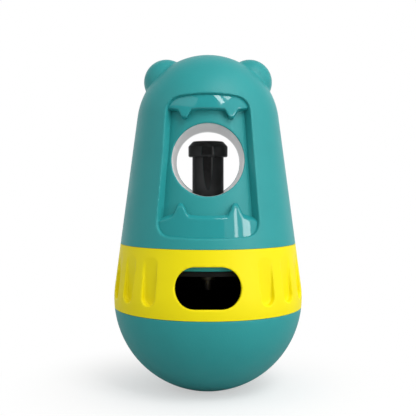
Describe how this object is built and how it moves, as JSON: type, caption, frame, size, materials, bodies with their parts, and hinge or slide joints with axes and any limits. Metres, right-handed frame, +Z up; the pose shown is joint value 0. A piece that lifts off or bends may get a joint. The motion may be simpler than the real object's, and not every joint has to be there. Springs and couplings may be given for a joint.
{
  "type": "treat holder chew toy",
  "caption": "Self-righting treat toy: weighted round base, fluted outlet ring that turns, and an eared twist-off dome whose round window clamps a chew under a sprung post.",
  "frame": {"origin": "middle of the flat foot, on the toy's axis", "axes": "+Z up along the toy's axis; the outlet slot and the front of the window face -Y"},
  "size_m": [0.0934, 0.0934, 0.1653],
  "materials": {
    "teal": "fine matte grain",
    "gloss_teal": "polished",
    "yellow": "satin",
    "black": "satin",
    "gloss_black": "polished",
    "white": "satin",
    "steel": "plated",
    "iron": "cast"
  },
  "bodies": {
    "base": {"base_bowl": "teal", "counterweight": "iron", "cup_sleeve": "black", "treat_dish": "black", "dish_screws": "steel"},
    "ring": {"outlet_ring": "yellow"},
    "dome": {"dome_shell": "teal", "front_panel": "teal", "rear_panel": "teal", "upper_visor_front": "gloss_teal", "lower_visor_front": "gloss_teal", "upper_visor_rear": "gloss_teal", "lower_visor_rear": "gloss_teal", "window_liner": "white", "bulkhead": "black", "bulkhead_screws": "steel", "return_spring": "steel"},
    "post": {"post_cap": "gloss_black", "post_tube": "gloss_black", "push_rod": "steel", "stop_collar": "steel"}
  },
  "joints": [
    {"name": "ring_turn", "type": "hinge", "parent": "base", "child": "ring", "pos_m": [0, 0, 0.0567], "axis": [0, 0, 1], "continuous": true},
    {"name": "dome_twist", "type": "hinge", "parent": "base", "child": "dome", "pos_m": [0, 0, 0.0724], "axis": [0, 0, 1], "range_deg": [0, 30]},
    {"name": "post_press", "type": "slide", "parent": "dome", "child": "post", "axis": [0, 0, 1], "range_m": [-0.014, 0], "stiffness_N_per_m": 250, "springref_m": 0.012, "deforming": ["return_spring"]}
  ]
}
